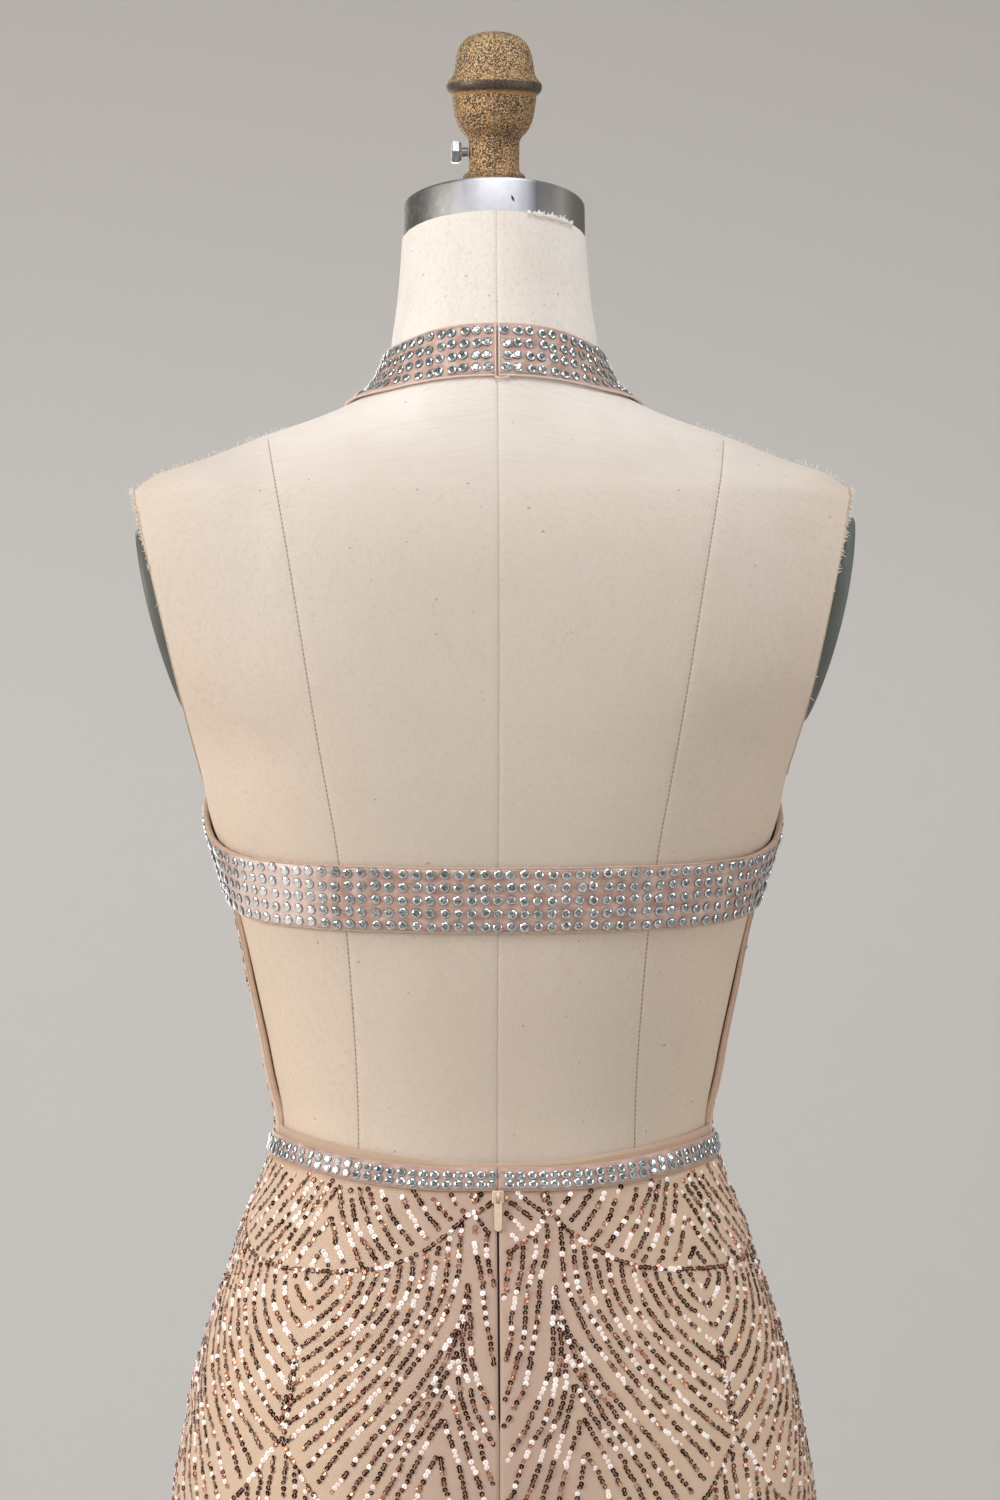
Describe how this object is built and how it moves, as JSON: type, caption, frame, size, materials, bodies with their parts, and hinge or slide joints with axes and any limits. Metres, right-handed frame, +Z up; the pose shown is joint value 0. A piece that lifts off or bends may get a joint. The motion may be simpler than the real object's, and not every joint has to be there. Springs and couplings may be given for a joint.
{
  "type": "mermaid evening gown on a limbless dress form with stand",
  "caption": "Backless halter gown, fitted to the knee with a fluted flared hem, worn by a limbless dress form on a pole and round base.",
  "frame": {"origin": "centre of the round base's underside, on the floor", "axes": "+Z up; the gown's front faces -Y and its open back +Y; the wearer's left is +X"},
  "size_m": [0.7902, 0.7833, 1.698],
  "materials": {
    "sequined_net": "fine net over nude lining with strands of rose gold ring sequins",
    "nude_lining": "matt nude lining",
    "stone_band": "dusty rose satin set with rows of clear round stones",
    "zip_tape": "woven tape with a closed coil",
    "zip_metal": "rose nude enamel",
    "form_canvas": "twill canvas stretched over the form",
    "plate_paint": "dark satin paint",
    "brushed_cap": "turned and brushed",
    "cast_brass": "rough casting under worn gold paint",
    "zinc_bolt": "zinc plated",
    "pole_steel": "drawn tube",
    "base_iron": "black painted casting"
  },
  "bodies": {
    "gown_on_form": {"skirt_front": "sequined_net", "skirt_back_left": "sequined_net", "skirt_back_right": "sequined_net", "front_bodice": "sequined_net", "waist_facing": "nude_lining", "halter_band_left": "stone_band", "halter_band_right": "stone_band", "back_strap": "stone_band", "waist_band": "stone_band", "neck_hook": "nude_lining", "zip_tape": "zip_tape", "zip_slider": "zip_metal", "form_torso": "form_canvas", "arm_plate_left": "plate_paint", "arm_plate_right": "plate_paint", "neck_cap": "brushed_cap", "neck_finial": "cast_brass", "set_bolt": "zinc_bolt", "stand_pole": "pole_steel", "stand_base": "base_iron"},
    "zip_pull": {"zip_pull_tab": "zip_metal"}
  },
  "joints": [
    {"name": "zip_pull_hinge", "type": "hinge", "parent": "gown_on_form", "child": "zip_pull", "pos_m": [0, 0.08819, 1.05272], "axis": [1, 0, 0], "range_deg": [0, 150]}
  ]
}
